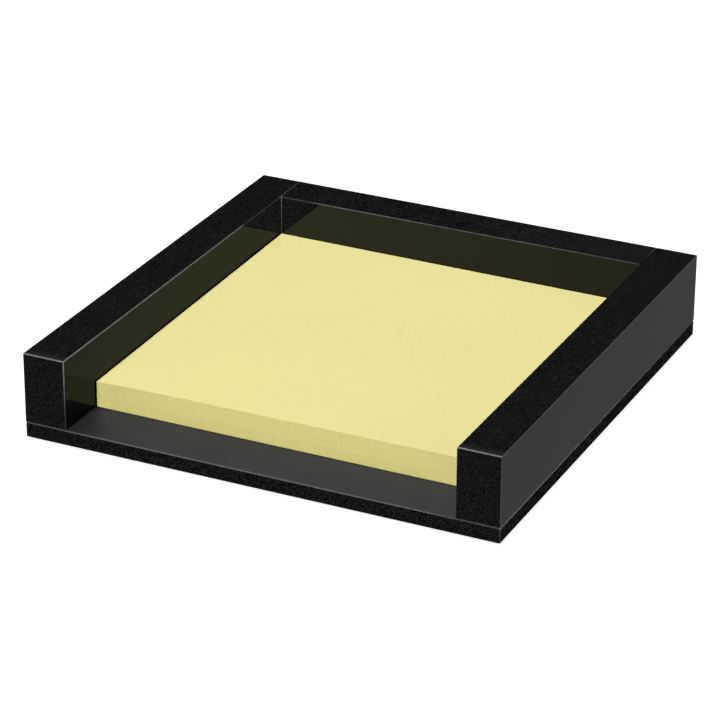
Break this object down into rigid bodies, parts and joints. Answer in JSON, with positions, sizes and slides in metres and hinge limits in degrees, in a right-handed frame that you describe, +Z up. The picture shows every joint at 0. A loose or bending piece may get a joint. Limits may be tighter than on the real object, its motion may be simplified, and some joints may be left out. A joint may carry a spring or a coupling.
{
  "type": "desk note pad holder",
  "caption": "Low open-front desk holder of black acrylic plates for a square pad of notes, with the pad in its pocket and a top sheet that peels up.",
  "frame": {"origin": "on the desk surface, under the middle of the base plate's outline", "axes": "+X to the right seen from the open front, +Y to the back (towards the rear rail), +Z up"},
  "size_m": [0.095, 0.0966, 0.0178],
  "materials": {
    "black_acrylic": "satin",
    "note_paper": "matte",
    "liner_paper": "matte",
    "foot_rubber": "matte"
  },
  "bodies": {
    "holder": {"base_plate": "black_acrylic", "left_rail": "black_acrylic", "right_rail": "black_acrylic", "rear_rail": "black_acrylic", "foot_front_left": "foot_rubber", "foot_front_right": "foot_rubber", "foot_rear_left": "foot_rubber", "foot_rear_right": "foot_rubber"},
    "note_pad": {"liner_sheet": "liner_paper", "note_sheets": "note_paper", "top_sheet_glued_edge": "note_paper"},
    "top_sheet": {"top_sheet_flap": "note_paper"}
  },
  "joints": [
    {"name": "pad_lift", "type": "slide", "parent": "holder", "child": "note_pad", "axis": [0, 0, 1], "range_m": [0, 0.035]},
    {"name": "top_sheet_peel", "type": "hinge", "parent": "note_pad", "child": "top_sheet", "pos_m": [0, 0.02405, 0.00945], "axis": [-1, 0, 0], "range_deg": [0, 75]}
  ]
}
